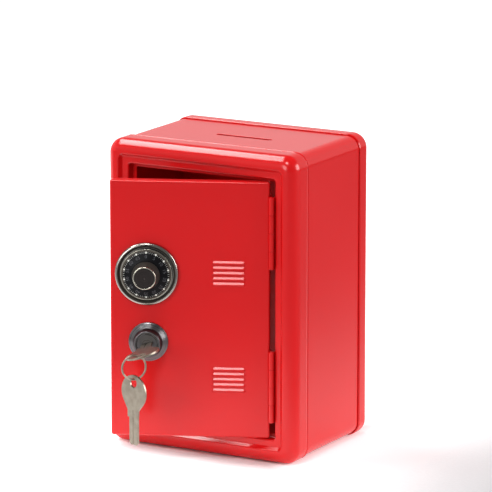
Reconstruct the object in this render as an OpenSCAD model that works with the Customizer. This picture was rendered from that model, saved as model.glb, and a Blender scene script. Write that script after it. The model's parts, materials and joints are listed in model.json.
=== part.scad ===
// Toy safe coin bank: a pressed steel cabinet with a hinged door, a turning dial,
// a cam lock with its key, and a spare key on a wire ring. Millimetres, +Z up.
// The origin is on the floor, under the middle of the front rim's flat foot.
// The front faces -Y, and the door is drawn part open.

/* [Cabinet] */
// Width across the front
cabinet_w = 123; // [110:1:150]
// Height from the floor to the top
cabinet_h = 178; // [150:1:220]
// Depth from the front face to the back face
cabinet_d = 89.5; // [75:0.5:130]
// Thickness of the steel sheet
sheet_t = 0.8; // [0.6:0.1:1]
// Radius of the cabinet's four corners, seen from the front
corner_r = 8.8; // [8:0.2:12]
// Space between a sheet and the sheet lapped over it
lap_gap = 0.1; // [0.05:0.05:0.2]

/* [Front frame] */
// Radius of the rounded nose round the front
nose_r = 7; // [5:0.2:7.6]
// Depth of the frame, from its front face to its rear edge
front_skirt = 16.9; // [13:0.1:24]
// Flat band between the nose and the slanted step
front_land = 1; // [0.5:0.1:3]
// Depth of the slanted step down to the ledge round the door
step_depth = 2; // [1.8:0.1:3]
// Corner radius at the foot of the step
step_r = 1.3; // [0.8:0.1:3]
// Width of the ledge between the step and the doorway
ledge_w = 4; // [3:0.1:7]
// Depth of the doorway's return flange, from the ledge to the back of its lip
return_depth = 6; // [5:0.1:9]
// Width of the stop lip that the door closes against
lip_w = 2.2; // [1.2:0.1:3]
// Corner radius of the doorway
doorway_r = 1.5; // [1.2:0.1:3]
// Outside radius of a folded edge
bend_r = 1.2; // [1:0.1:1.6]

/* [Back] */
// Depth of the back pan, from the back face to its front edge
rear_skirt = 12; // [9:0.5:20]
// Radius of the back pan's rounded edge
rear_r = 6; // [4:0.2:7.6]

/* [Coin slot] */
// Length of the slot
slot_len = 36; // [28:0.5:45]
// Width of the slot
slot_w = 3.2; // [2.5:0.1:5]
// Distance of the slot's centre behind the front face
slot_setback = 44.2; // [30:0.2:56]
// Distance of the slot's centre to the right of the middle
slot_shift = 4.2; // [-8:0.2:8]

/* [Door] */
// Angle that the door stands open, drawn as a pose
door_open = 24.3; // [0:0.1:100]
// Gap between the door and the doorway on the hinge side
hinge_gap = 2.05; // [1.9:0.05:2.6]
// Gap on the latch side
latch_gap = 2.9; // [1.5:0.1:4]
// Gap over the door
top_gap = 1.6; // [0.8:0.1:3]
// Gap under the door
bottom_gap = 0.8; // [0.5:0.1:2]
// Space between the closed door's rear edge and the stop lip
stop_gap = 0.2; // [0.1:0.05:0.4]

/* [Louvres] */
// Number of louvres in a group
louvre_count = 5; // [3:1:7]
// Length of a louvre
louvre_len = 19; // [12:0.5:22]
// Distance from one louvre to the next
louvre_pitch = 3.07; // [2.6:0.01:4]
// Height of a louvre's hood on the face of the door
louvre_h = 2; // [1.6:0.1:2.4]
// Distance from the door's hinge edge to the middle of the louvres
louvre_inset = 23.2; // [18:0.1:26]
// Height of the upper group's middle above the door's bottom
upper_louvres = 94.8; // [80:0.2:102]
// Height of the lower group's middle above the door's bottom
lower_louvres = 33.4; // [20:0.2:50]

/* [Hinges] */
// Length of each hinge
hinge_len = 41.2; // [30:0.2:50]
// Knuckles in each hinge
knuckle_count = 4; // [2:2:6]
// Radius of a knuckle
knuckle_r = 1.55; // [1.4:0.05:1.65]
// Radius of the hinge pin
pin_r = 0.75; // [0.5:0.05:0.8]
// Thickness of a hinge leaf
leaf_t = 0.7; // [0.5:0.05:0.8]
// Distance from the door's top to the upper hinge
upper_hinge_drop = 8.2; // [4:0.1:20]
// Distance from the door's bottom to the lower hinge
lower_hinge_rise = 9.5; // [4:0.1:20]

/* [Dial] */
// Distance from the door's free edge to the dial's centre
dial_inset = 20.75; // [19:0.05:24]
// Height of the dial's centre above the door's bottom
dial_rise = 94.15; // [86:0.05:98]
// Radius of the fixed bezel
bezel_r = 18; // [16.5:0.1:18.6]
// Height of the bezel's rim above the door
bezel_h = 2.6; // [2:0.1:3.4]
// Width of the bezel's rim
bezel_rim = 1.2; // [0.8:0.1:1.8]
// Radius of the turning dial
dial_r = 14.6; // [13:0.1:14.8]
// Height of the dial's edge above the door
dial_edge_h = 3; // [2.4:0.1:4]
// Height of the dial's crown under the knob
dial_crown_h = 5.6; // [4.8:0.1:7]
// Radius of the knob at its foot
knob_foot_r = 8; // [7.4:0.1:9]
// Radius of the knob at its face
knob_face_r = 6.5; // [5.6:0.1:7.2]
// Height of the knob's face above the door
knob_h = 13.2; // [10:0.1:18]
// Radius of the spindle that carries the dial
spindle_r = 2.5; // [2:0.1:3.2]

/* [Lock] */
// Distance from the door's free edge to the lock's centre
lock_inset = 21.45; // [18:0.05:26]
// Height of the lock's centre above the door's bottom
lock_rise = 54.85; // [46:0.05:60]
// Radius of the lock's flange
flange_r = 11.2; // [10:0.1:12]
// Height of the lock's rim above the door
lock_h = 7.8; // [6.5:0.1:9]
// Radius of the lock's barrel
barrel_r = 7.6; // [7.2:0.1:8.2]
// Length of the barrel behind the door's face
lock_depth = 12.5; // [12:0.1:16]
// Radius of the plug's head
plug_head_r = 6; // [5.8:0.1:6.4]
// Radius of the plug behind its head
plug_r = 5.2; // [4.8:0.1:5.4]
// Angle that the key and plug are turned, drawn as a pose
key_turn = 17; // [0:1:90]
// Thickness of the cam
cam_t = 1.2; // [1:0.1:1.6]
// Width of the cam's arm
cam_w = 9; // [7:0.5:11]
// Space between the cam and the back of the stop lip
cam_gap = 0.4; // [0.3:0.1:1]

/* [Keys] */
// Thickness of a key
key_t = 1.3; // [1:0.1:1.6]
// Width of the blade
blade_w = 6.8; // [5.5:0.1:7.2]
// Length of the blade, from its tip to the stop shoulder
blade_len = 15.7; // [12:0.1:16]
// Length of the shank between the shoulder and the bow
shank_len = 4.1; // [3:0.1:7]
// Width of the stop shoulder
shoulder_w = 1.4; // [1:0.1:2]
// Radius of the bow
bow_r = 9.6; // [9:0.1:10.4]
// Length of the bow, from the shank to its rounded end
bow_len = 20.2; // [19:0.1:23]
// Radius of the hole in the bow
bow_hole_r = 2.7; // [2.5:0.1:3]
// Distance from the bow's rounded end to the hole's centre
bow_hole_inset = 4.35; // [4.1:0.05:5]
// Distance that the key is drawn out of the lock, as a pose
key_out = 7.2; // [0.2:0.1:12]

/* [Key ring] */
// Radius of the ring, to the middle of its wire
ring_r = 6.9; // [6.5:0.1:8]
// Radius of the wire
wire_r = 0.55; // [0.4:0.05:0.6]
// Angle between the ring and the door
ring_yaw = 25; // [15:1:30]
// Angle between the spare key and the door
spare_yaw = 40; // [30:1:50]
// Distance that the ring's centre hangs to the left of the key's hole
ring_side = 4.4; // [4:0.1:5]

/* [Fits] */
// Radial clearance of a part that turns in another
running_gap = 0.05; // [0.03:0.01:0.1]
// Clearance between fixed parts that are clamped or pushed together
seat_gap = 0.05; // [0.02:0.01:0.1]
// Clearance between a turning part and the part behind it
face_gap = 0.3; // [0.2:0.05:0.5]
// Clearance round the key's blade in the plug
blade_gap = 0.15; // [0.1:0.05:0.2]

/* [Hidden] */

// Slack for cuts that have to pass right through a face
past = 0.5;
// Smoothness of large and small round shapes
round_fn = 96;
small_fn = 48;

// Where the front frame's bands begin, measured in from the cabinet's side
step_start = nose_r + front_land;
step_foot = step_start + step_depth;
doorway_inset = step_foot + ledge_w;
step_axis = step_foot + step_r;
doorway_axis = doorway_inset + doorway_r;
// How far a sheet's inner face runs on past a 45 degree bend
bend_shift = sheet_t * tan(22.5);
// Corner radius of the lip's inner edge
lip_r = 0.5;
wrap_inset = sheet_t + lap_gap;
// How far the wrap's edges stay from the rounded noses that cover them
wrap_tuck = 1;
// Height of the front plane over the origin, along the direction that the door faces
front_z = (nose_r + front_skirt) / 2;

// Door
doorway_w = cabinet_w - 2 * doorway_inset;
doorway_h = cabinet_h - 2 * doorway_inset;
door_w = doorway_w - hinge_gap - latch_gap;
door_h = doorway_h - top_gap - bottom_gap;
door_depth = return_depth - sheet_t - stop_gap;
door_bottom = doorway_inset + bottom_gap;

// Hinges: the leaves lie on each side of the gap, and the pin stands in front of it
pin_x = doorway_w / 2 - hinge_gap / 2;
pin_stand = knuckle_r + 0.2;
pin_depth = step_depth - pin_stand;
leaf_depth = door_depth - 0.4;
knuckle_len = hinge_len / knuckle_count;
knuckle_gap = 0.2;
upper_hinge_rise = door_h - upper_hinge_drop - hinge_len;

// Louvres
louvre_wall = 0.45;

// Dial stack, as heights over the door's face
bezel_floor = 0.9;
bush_r = spindle_r + running_gap + 1.8;
bush_end = -(sheet_t + 1.8);
clip_t = 0.6;
washer_t = 0.5;
push_nut_t = 0.8;
washer_top = bush_end - 2 * seat_gap;
push_nut_top = washer_top - washer_t - seat_gap;
spindle_end = push_nut_top - push_nut_t - 1.2;
dial_foot = bezel_floor + face_gap;
cap_t = 0.6;
cap_r = knob_face_r - 0.7;
cap_sink = 0.25;

// Lock stack, as heights over the door's face
tube_r = barrel_r - 0.1;
flange_edge = 0.9;
flange_top = 3.2;
plug_face = lock_h - 0.4;
head_foot = flange_top + 0.2;
lock_washer_t = 0.6;
nut_t = 3;
nut_flats = 2 * tube_r + 6;
tail_w = 5;
tail_end = -(lock_depth + face_gap / 2 + cam_t - seat_gap);
cam_front = -(lock_depth + face_gap / 2);
cam_tip_front = -(return_depth + cam_gap);
cam_len = lock_inset + latch_gap + 0.4;
cam_hub_r = tail_w / 2 + 3.8;
cam_joggle = cam_hub_r + 2.6;
screw_r = 1.25;
screw_depth = 3.4;

// Keys
key_len = blade_len + shank_len + bow_len;
bow_end = shank_len + bow_len;
bow_hole_y = bow_end - bow_hole_inset;
blade_groove_w = 1;
blade_groove_depth = 0.3;
blade_chamfer = 1.2;

// The hole of the key in the lock, over the door's face
hole_z = plug_face + key_out + bow_hole_y;
// The wire lies off the hole's centre, towards the side that it hangs from
ring_slack = 0.3 * (bow_hole_r - wire_r);
ring_drop = sqrt(pow(ring_r + ring_slack, 2) - pow(ring_side, 2));
// How far the spare key's hole hangs below the wire
spare_drop = bow_hole_r - wire_r - face_gap;

paint = [0.84, 0.13, 0.14];
chrome = [0.80, 0.80, 0.78];
steel = [0.62, 0.62, 0.62];
black = [0.12, 0.12, 0.13];
nickel = [0.80, 0.78, 0.72];

// Turns a shape drawn as seen from the front (x right, y up, z towards the viewer)
module face_on() {
  rotate([90, 0, 0]) children();
}

// Places a shape on the front face, centred on the cabinet
module on_front() {
  face_on() translate([0, cabinet_h / 2, front_z]) children();
}

// Places a shape on the frame at the hinge pin, with y from the door's bottom
module at_pin() {
  face_on() translate([pin_x, door_bottom, front_z - pin_depth]) children();
}

// The same place, turned with the open door
module at_door_pin() {
  at_pin() rotate([0, door_open, 0]) children();
}

// Places a shape on the door's face, from its hinge edge and its bottom
module on_door() {
  at_door_pin() translate([-hinge_gap / 2, 0, -pin_stand]) children();
}

module at_dial() {
  on_door() translate([dial_inset - door_w, dial_rise, 0]) children();
}

module at_lock() {
  on_door() translate([lock_inset - door_w, lock_rise, 0]) children();
}

// The lock's turning parts share the key's angle
module at_plug() {
  at_lock() rotate([0, 0, key_turn]) children();
}

module at_ring() {
  at_lock()
    translate([-ring_side * cos(ring_yaw), -ring_drop, hole_z + ring_side * sin(ring_yaw)])
      rotate([0, ring_yaw, 0])
        children();
}

// Rectangle with round corners, centred
module round_rect(w, h, r) {
  square([w - 2 * r, h], center = true);
  square([w, h - 2 * r], center = true);
  for (sx = [-1, 1], sy = [-1, 1])
    translate([sx * (w / 2 - r), sy * (h / 2 - r)])
      circle(r = r, $fn = small_fn);
}

// Flat band that follows a w by h rectangle, from one inset to a deeper one
module flat_band(w, h, inset_a, r_a, inset_b, r_b, t) {
  linear_extrude(t)
    difference() {
      round_rect(w - 2 * inset_a, h - 2 * inset_a, r_a);
      round_rect(w - 2 * inset_b, h - 2 * inset_b, r_b);
    }
}

// Sweeps a profile round a w by h rectangle. The profile's x runs outwards from
// the corners' axes, which lie at the given inset, and its y is the sweep's z.
module ring_sweep(w, h, inset) {
  for (a = [0, 180]) rotate([0, 0, a]) {
    translate([0, h / 2 - inset, 0])
      rotate([90, 0, 90])
        linear_extrude(w - 2 * inset, center = true)
          children();
    translate([w / 2 - inset, 0, 0])
      rotate([90, 0, 0])
        linear_extrude(h - 2 * inset, center = true)
          children();
    translate([w / 2 - inset, h / 2 - inset, 0])
      rotate_extrude(angle = 90, $fn = small_fn)
        children();
    translate([inset - w / 2, h / 2 - inset, 0])
      rotate([0, 0, 90])
        rotate_extrude(angle = 90, $fn = small_fn)
          children();
  }
}

// Quarter of a bent sheet's section, outer radius r, in the quadrant given by sx and sy
module bend_section(r, sx, sy) {
  intersection() {
    difference() {
      circle(r = r, $fn = small_fn);
      circle(r = r - sheet_t, $fn = small_fn);
    }
    translate([sx > 0 ? 0 : -r, sy > 0 ? 0 : -r]) square([r, r]);
  }
}

// Annular washer with its top at z = 0
module washer(r_out, r_in, t) {
  translate([0, 0, -t])
    difference() {
      cylinder(r = r_out, h = t, $fn = small_fn);
      translate([0, 0, -past]) cylinder(r = r_in, h = t + 2 * past, $fn = small_fn);
    }
}

// Pressed frame: skirt, rounded nose, slanted step, ledge, return flange and stop lip
module front_frame() {
  color(paint) on_front() {
    // Skirt and nose
    ring_sweep(cabinet_w, cabinet_h, corner_r) {
      translate([corner_r - sheet_t, -front_skirt])
        square([sheet_t, front_skirt - nose_r]);
      translate([corner_r - nose_r, -nose_r]) bend_section(nose_r, 1, 1);
    }
    // Land, from the nose to the step
    translate([0, 0, -sheet_t])
      flat_band(cabinet_w, cabinet_h, nose_r, corner_r - nose_r,
        step_start - bend_shift, step_axis - step_start + bend_shift, sheet_t);
    // Slanted step
    ring_sweep(cabinet_w, cabinet_h, step_axis)
      translate([step_axis, 0])
        polygon([
          [bend_shift - step_start, 0],
          [-step_start, 0],
          [-step_foot, -step_depth],
          [-step_foot, -step_depth - sheet_t],
          [bend_shift - step_foot, -step_depth - sheet_t],
          [bend_shift - step_start, -sheet_t]
        ]);
    // Ledge
    translate([0, 0, -step_depth - sheet_t])
      flat_band(cabinet_w, cabinet_h, step_foot, step_r,
        doorway_inset - bend_r, doorway_r + bend_r, sheet_t);
    // Folded edge and return flange
    ring_sweep(cabinet_w, cabinet_h, doorway_axis) {
      translate([doorway_r + bend_r, -step_depth - bend_r])
        bend_section(bend_r, -1, 1);
      translate([doorway_r, -step_depth - return_depth])
        square([sheet_t, return_depth - bend_r]);
    }
    // Stop lip
    translate([0, 0, -step_depth - return_depth])
      flat_band(cabinet_w, cabinet_h, doorway_inset, doorway_r,
        doorway_inset + lip_w, lip_r, sheet_t);
  }
}

// Sheet wrapped round the cabinet, with the coin slot in its top
module body_wrap() {
  wrap_front = -(nose_r + wrap_tuck);
  wrap_len = cabinet_d - nose_r - rear_r - 2 * wrap_tuck;
  color(paint) on_front()
    difference() {
      translate([0, 0, wrap_front - wrap_len])
        flat_band(cabinet_w, cabinet_h, wrap_inset, corner_r - wrap_inset,
          wrap_inset + sheet_t, corner_r - wrap_inset - sheet_t, wrap_len);
      translate([slot_shift, cabinet_h / 2 - wrap_inset - sheet_t - past, -slot_setback])
        rotate([-90, 0, 0])
          linear_extrude(sheet_t + 2 * past)
            round_rect(slot_len, slot_w, slot_w / 2 - 0.1);
    }
}

// Pressed back pan with a rounded edge, lapped over the wrap
module back_panel() {
  color(paint) on_front() translate([0, 0, -cabinet_d]) {
    ring_sweep(cabinet_w, cabinet_h, corner_r) {
      translate([corner_r - sheet_t, rear_r]) square([sheet_t, rear_skirt - rear_r]);
      translate([corner_r - rear_r, rear_r]) bend_section(rear_r, 1, -1);
    }
    linear_extrude(sheet_t)
      round_rect(cabinet_w - 2 * rear_r, cabinet_h - 2 * rear_r, corner_r - rear_r);
  }
}

// Row of knuckles along y, every second one from the given number
module knuckles(first) {
  for (i = [first : 2 : knuckle_count - 1])
    translate([0, i * knuckle_len + knuckle_gap / 2, 0])
      rotate([-90, 0, 0])
        cylinder(r = knuckle_r, h = knuckle_len - knuckle_gap, $fn = small_fn);
}

// Hinge leaf: a plate on one side of the gap, with necks up to its own knuckles
module hinge_leaf(side, first) {
  plate_in = hinge_gap / 2 - leaf_t - seat_gap;
  plate_x = side > 0 ? plate_in : -plate_in - leaf_t;
  plate_top = -(knuckle_r + 0.15);
  color(paint)
    difference() {
      union() {
        translate([plate_x, 0, -(pin_stand + leaf_depth)])
          cube([leaf_t, hinge_len, pin_stand + leaf_depth + plate_top]);
        for (i = [first : 2 : knuckle_count - 1])
          translate([plate_x, i * knuckle_len + knuckle_gap / 2, plate_top - past])
            cube([leaf_t, knuckle_len - knuckle_gap, past - plate_top - pin_r]);
        knuckles(first);
      }
      translate([0, -past, 0])
        rotate([-90, 0, 0])
          cylinder(r = pin_r + running_gap, h = hinge_len + 2 * past, $fn = small_fn);
    }
}

module hinge_pin() {
  head_out = 0.2;
  color(paint)
    translate([0, -head_out, 0])
      rotate([-90, 0, 0])
        cylinder(r = pin_r, h = hinge_len + 2 * head_out, $fn = small_fn);
}

module upper_frame_leaf() {
  at_pin() translate([0, upper_hinge_rise, 0]) hinge_leaf(1, 0);
}

module lower_frame_leaf() {
  at_pin() translate([0, lower_hinge_rise, 0]) hinge_leaf(1, 0);
}

module upper_door_leaf() {
  at_door_pin() translate([0, upper_hinge_rise, 0]) hinge_leaf(-1, 1);
}

module lower_door_leaf() {
  at_door_pin() translate([0, lower_hinge_rise, 0]) hinge_leaf(-1, 1);
}

module upper_hinge_pin() {
  at_pin() translate([0, upper_hinge_rise, 0]) hinge_pin();
}

module lower_hinge_pin() {
  at_pin() translate([0, lower_hinge_rise, 0]) hinge_pin();
}

// Bar with round ends along x, total length len
module capsule(len, r) {
  straight = len - 2 * r;
  rotate([0, 90, 0]) cylinder(r = r, h = straight, center = true, $fn = small_fn);
  for (s = [-1, 1]) translate([s * straight / 2, 0, 0]) sphere(r = r, $fn = small_fn);
}

// Places one shape at every louvre of both groups
module each_louvre() {
  for (middle = [upper_louvres, lower_louvres], i = [0 : louvre_count - 1])
    translate([-louvre_inset, middle + (i - (louvre_count - 1) / 2) * louvre_pitch, 0])
      children();
}

// Half-round hood that stands out of the door's face
module louvre_hood() {
  intersection() {
    capsule(louvre_len, louvre_h / 2);
    translate([-louvre_len / 2 - past, -louvre_h, -sheet_t / 2])
      cube([louvre_len + 2 * past, 2 * louvre_h, louvre_h + sheet_t]);
  }
}

// Hollow behind a hood, with the slit that opens on its underside
module louvre_hollow() {
  inner_r = louvre_h / 2 - louvre_wall;
  straight = louvre_len - louvre_h;
  capsule(louvre_len - 2 * louvre_wall, inner_r);
  translate([-straight / 2, -inner_r, -sheet_t - past])
    cube([straight, 2 * inner_r, sheet_t + past]);
  translate([-straight / 2, -louvre_h / 2 - past, 0])
    cube([straight, louvre_h / 2 + past - inner_r / 2, inner_r]);
}

// Door: a shallow pressed tray with louvres and holes for the dial and the lock
module door_panel() {
  color(paint) on_door()
    difference() {
      union() {
        translate([-door_w / 2, door_h / 2, 0]) {
          translate([0, 0, -sheet_t / 2])
            cube([door_w - 2 * bend_r, door_h - 2 * bend_r, sheet_t], center = true);
          ring_sweep(door_w, door_h, bend_r) {
            translate([0, -bend_r]) bend_section(bend_r, 1, 1);
            translate([bend_r - sheet_t, -door_depth]) square([sheet_t, door_depth - bend_r]);
          }
        }
        each_louvre() louvre_hood();
      }
      each_louvre() louvre_hollow();
      translate([dial_inset - door_w, dial_rise, -sheet_t - past])
        cylinder(r = bush_r + seat_gap, h = sheet_t + 2 * past, $fn = small_fn);
      translate([lock_inset - door_w, lock_rise, -sheet_t - past])
        cylinder(r = tube_r + seat_gap, h = sheet_t + 2 * past, $fn = small_fn);
    }
}

// Fixed ring round the dial, with an index notch and a bush through the door
module dial_bezel() {
  rim_in = bezel_r - bezel_rim;
  well_r = dial_r + 0.6;
  rim_round = 0.8;
  color(chrome) at_dial()
    difference() {
      rotate_extrude($fn = round_fn)
        difference() {
          union() {
            polygon([
              [spindle_r + running_gap, bush_end],
              [bush_r, bush_end],
              [bush_r, seat_gap],
              [bezel_r, seat_gap],
              [bezel_r, bezel_h - rim_round],
              [bezel_r - rim_round, bezel_h - rim_round],
              [bezel_r - rim_round, bezel_h],
              [rim_in, bezel_h],
              [well_r, bezel_floor],
              [spindle_r + running_gap, bezel_floor]
            ]);
            translate([bezel_r - rim_round, bezel_h - rim_round])
              circle(r = rim_round, $fn = small_fn);
          }
        }
      translate([0, rim_in, bezel_h])
        rotate([0, 0, 45])
          cube([1.2, 1.2, 1], center = true);
    }
}

// Spring ring that holds the bezel's bush behind the door
module bezel_clip() {
  color(steel) at_dial()
    translate([0, 0, -sheet_t - seat_gap])
      washer(bush_r + 2.6, bush_r + seat_gap, clip_t);
}

// Turning number disc: raised edge, grey cone and black number cone
module dial_disc() {
  edge_w = 0.4;
  grey_w = 1;
  color(black) at_dial()
    rotate_extrude($fn = round_fn)
      polygon([
        [spindle_r + seat_gap, dial_foot],
        [dial_r - edge_w, dial_foot],
        [dial_r, dial_foot + edge_w],
        [dial_r, dial_edge_h - edge_w / 2],
        [dial_r - edge_w / 2, dial_edge_h],
        [dial_r - edge_w, dial_edge_h],
        [dial_r - edge_w - grey_w, dial_edge_h + grey_w / 2],
        [knob_foot_r + 0.3, dial_crown_h],
        [spindle_r + seat_gap, dial_crown_h]
      ]);
}

// Tapered knob with a rounded rim and a shallow recess for its cap
module dial_knob() {
  rim_round = 0.4;
  color(black) at_dial()
    rotate_extrude($fn = round_fn)
      difference() {
        union() {
          polygon([
            [spindle_r + seat_gap, dial_crown_h + seat_gap],
            [knob_foot_r, dial_crown_h + seat_gap],
            [knob_foot_r, dial_crown_h + 0.8],
            [knob_face_r, knob_h - rim_round],
            [knob_face_r - rim_round, knob_h - rim_round],
            [knob_face_r - rim_round, knob_h],
            [spindle_r + seat_gap, knob_h]
          ]);
          translate([knob_face_r - rim_round, knob_h - rim_round])
            circle(r = rim_round, $fn = small_fn);
        }
        translate([0, knob_h - cap_sink - cap_t - seat_gap])
          square([cap_r + seat_gap, cap_t + cap_sink + seat_gap + past]);
      }
}

// Brushed disc let into the knob's face, with a centre dimple
module knob_cap() {
  dimple_r = 0.6;
  color(steel) at_dial()
    translate([0, 0, knob_h - cap_sink - cap_t])
      difference() {
        cylinder(r = cap_r, h = cap_t, $fn = small_fn);
        translate([0, 0, cap_t + dimple_r * 0.5]) sphere(r = dimple_r, $fn = small_fn);
      }
}

// Shaft that joins the dial and knob and turns in the bezel's bush
module dial_spindle() {
  color(steel) at_dial()
    translate([0, 0, spindle_end])
      cylinder(r = spindle_r, h = knob_h - cap_sink - cap_t - 2 * seat_gap - spindle_end, $fn = small_fn);
}

module dial_washer() {
  color(steel) at_dial()
    translate([0, 0, washer_top])
      washer(bush_r + 0.6, spindle_r + seat_gap, washer_t);
}

// Push-on nut with a raised collar
module dial_push_nut() {
  color(steel) at_dial()
    translate([0, 0, push_nut_top]) {
      washer(bush_r + 1, spindle_r + seat_gap, push_nut_t / 2);
      washer(spindle_r + 1, spindle_r + seat_gap, push_nut_t);
    }
}

// Lock case: sloping flange, raised barrel and the tube that passes through the door
module lock_body() {
  head_bore = plug_head_r + running_gap;
  plug_bore = plug_r + running_gap;
  rim_w = barrel_r - head_bore;
  color(chrome) at_lock()
    rotate_extrude($fn = round_fn)
      polygon([
        [plug_bore, -lock_depth],
        [tube_r, -lock_depth],
        [tube_r, seat_gap],
        [flange_r, seat_gap],
        [flange_r, flange_edge],
        [flange_r - 0.4, flange_edge + 0.3],
        [barrel_r + 0.6, flange_top],
        [barrel_r, flange_top + 0.5],
        [barrel_r, lock_h - rim_w * 0.35],
        [barrel_r - rim_w * 0.35, lock_h],
        [head_bore + rim_w * 0.25, lock_h],
        [head_bore, lock_h - rim_w * 0.25],
        [head_bore, head_foot],
        [plug_bore, head_foot]
      ]);
}

module lock_washer() {
  color(steel) at_lock()
    translate([0, 0, -sheet_t - seat_gap])
      washer(tube_r + 3.2, tube_r + seat_gap, lock_washer_t);
}

// Thin hexagon nut that clamps the lock to the door
module lock_nut() {
  nut_top = -(sheet_t + lock_washer_t + 2 * seat_gap);
  color(steel) at_lock()
    translate([0, 0, nut_top - nut_t])
      difference() {
        cylinder(r = nut_flats / sqrt(3), h = nut_t, $fn = 6);
        translate([0, 0, -past])
          cylinder(r = tube_r + seat_gap, h = nut_t + 2 * past, $fn = small_fn);
      }
}

// Turning plug: head, body, keyway, square tail and screw hole
module lock_plug() {
  keyway_foot = plug_face - blade_len - 0.3;
  color(chrome) at_plug()
    difference() {
      union() {
        rotate_extrude($fn = round_fn)
          polygon([
            [0, -lock_depth - seat_gap],
            [plug_r, -lock_depth - seat_gap],
            [plug_r, head_foot + seat_gap],
            [plug_head_r, head_foot + seat_gap],
            [plug_head_r, plug_face - 0.3],
            [plug_head_r - 0.3, plug_face],
            [0, plug_face]
          ]);
        translate([-tail_w / 2, -tail_w / 2, tail_end])
          cube([tail_w, tail_w, -lock_depth - tail_end]);
      }
      translate([-blade_w / 2 - blade_gap, -key_t / 2 - blade_gap, keyway_foot])
        cube([blade_w + 2 * blade_gap, key_t + 2 * blade_gap, blade_len + past]);
      translate([0, 0, tail_end - past])
        cylinder(r = screw_r + seat_gap, h = screw_depth + cam_t + past, $fn = small_fn);
    }
}

// Latch cam: a hub on the plug's tail and an arm that steps forward behind the lip
module lock_cam() {
  rise = cam_tip_front - cam_front;
  shift = cam_t * tan(22.5);
  color(steel) at_plug() rotate([0, 0, 90])
    difference() {
      intersection() {
        translate([0, 0, cam_front - cam_t - past])
          linear_extrude(rise + cam_t + 2 * past) {
            circle(r = cam_hub_r, $fn = small_fn);
            translate([0, -cam_w / 2]) square([cam_len - cam_w / 2, cam_w]);
            translate([cam_len - cam_w / 2, 0]) circle(r = cam_w / 2, $fn = small_fn);
          }
        rotate([90, 0, 0])
          linear_extrude(2 * cam_hub_r + cam_w, center = true)
            polygon([
              [-cam_hub_r - past, cam_front],
              [cam_joggle, cam_front],
              [cam_joggle + rise, cam_tip_front],
              [cam_len + past, cam_tip_front],
              [cam_len + past, cam_tip_front - cam_t],
              [cam_joggle + rise + shift, cam_tip_front - cam_t],
              [cam_joggle + shift, cam_front - cam_t],
              [-cam_hub_r - past, cam_front - cam_t]
            ]);
      }
      translate([0, 0, cam_front])
        cube([tail_w + 2 * seat_gap, tail_w + 2 * seat_gap, 4 * cam_t], center = true);
    }
}

module cam_washer() {
  color(steel) at_plug()
    translate([0, 0, cam_front - cam_t - seat_gap])
      washer(tail_w / 2 + 2.2, screw_r + seat_gap, washer_t);
}

// Screw that holds the cam, with a domed head and a straight slot
module cam_screw() {
  head_r = tail_w / 2 + 0.8;
  head_h = 1.6;
  dome_r = (head_r * head_r + head_h * head_h) / (2 * head_h);
  head_top = cam_front - cam_t - washer_t - 2 * seat_gap;
  color(steel) at_plug()
    translate([0, 0, head_top])
      difference() {
        union() {
          cylinder(r = screw_r, h = washer_t + screw_depth, $fn = small_fn);
          intersection() {
            translate([0, 0, dome_r - head_h]) sphere(r = dome_r, $fn = round_fn);
            translate([0, 0, -head_h]) cylinder(r = head_r + past, h = head_h, $fn = small_fn);
          }
        }
        translate([-head_r - past, -0.4, -head_h - past])
          cube([2 * head_r + 2 * past, 0.8, head_h * 0.5 + past]);
      }
}

// Where a line from point p touches the circle at c, on the side given by turn
function tangent_point(p, c, r, turn) =
  let (
    d = c - p,
    reach = sqrt(d * d - r * r),
    a = atan2(d[1], d[0]) + turn * asin(r / norm(d))
  )
  p + reach * [cos(a), sin(a)];

// Key outline along y: tip at -blade_len, stop shoulder at 0, round end at bow_end
module key_outline() {
  half = blade_w / 2;
  left = [-half - shoulder_w, shank_len];
  right = [half + shoulder_w / 4, shank_len];
  middle = [0, bow_end - bow_r];
  polygon([
    [blade_chamfer - half, -blade_len],
    [half - blade_chamfer, -blade_len],
    [half, blade_chamfer - blade_len],
    [half, 0],
    right,
    tangent_point(right, middle, bow_r, -1),
    middle,
    tangent_point(left, middle, bow_r, 1),
    left,
    [-half - shoulder_w, 0],
    [-half, 0],
    [-half, blade_chamfer - blade_len]
  ]);
  translate(middle) circle(r = bow_r, $fn = round_fn);
}

// Flat pressed key with a milled groove down each side of the blade
module key_blank() {
  color(nickel)
    difference() {
      linear_extrude(key_t, center = true)
        difference() {
          key_outline();
          translate([0, bow_hole_y]) circle(r = bow_hole_r, $fn = small_fn);
        }
      for (s = [-1, 1])
        translate([-blade_groove_w / 2, -blade_len - past, s * key_t / 2 - blade_groove_depth])
          cube([blade_groove_w, blade_len + shank_len + past, 2 * blade_groove_depth]);
    }
}

module lock_key() {
  at_plug() translate([0, 0, plug_face + key_out]) rotate([90, 0, 0]) key_blank();
}

// Single ring of round wire
module key_ring() {
  color(nickel) at_ring()
    rotate_extrude($fn = round_fn)
      translate([ring_r, 0]) circle(r = wire_r, $fn = small_fn);
}

// Spare key, hanging by its hole from the bottom of the ring
module spare_key() {
  at_ring()
    translate([0, -ring_r - spare_drop, 0])
      rotate([0, -ring_yaw - spare_yaw, 0])
        translate([0, -bow_hole_y, 0])
          key_blank();
}

front_frame();
body_wrap();
back_panel();
upper_frame_leaf();
lower_frame_leaf();
upper_hinge_pin();
lower_hinge_pin();
door_panel();
upper_door_leaf();
lower_door_leaf();
dial_bezel();
bezel_clip();
dial_disc();
dial_knob();
knob_cap();
dial_spindle();
dial_washer();
dial_push_nut();
lock_body();
lock_washer();
lock_nut();
lock_plug();
lock_cam();
cam_washer();
cam_screw();
lock_key();
key_ring();
spare_key();
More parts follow.
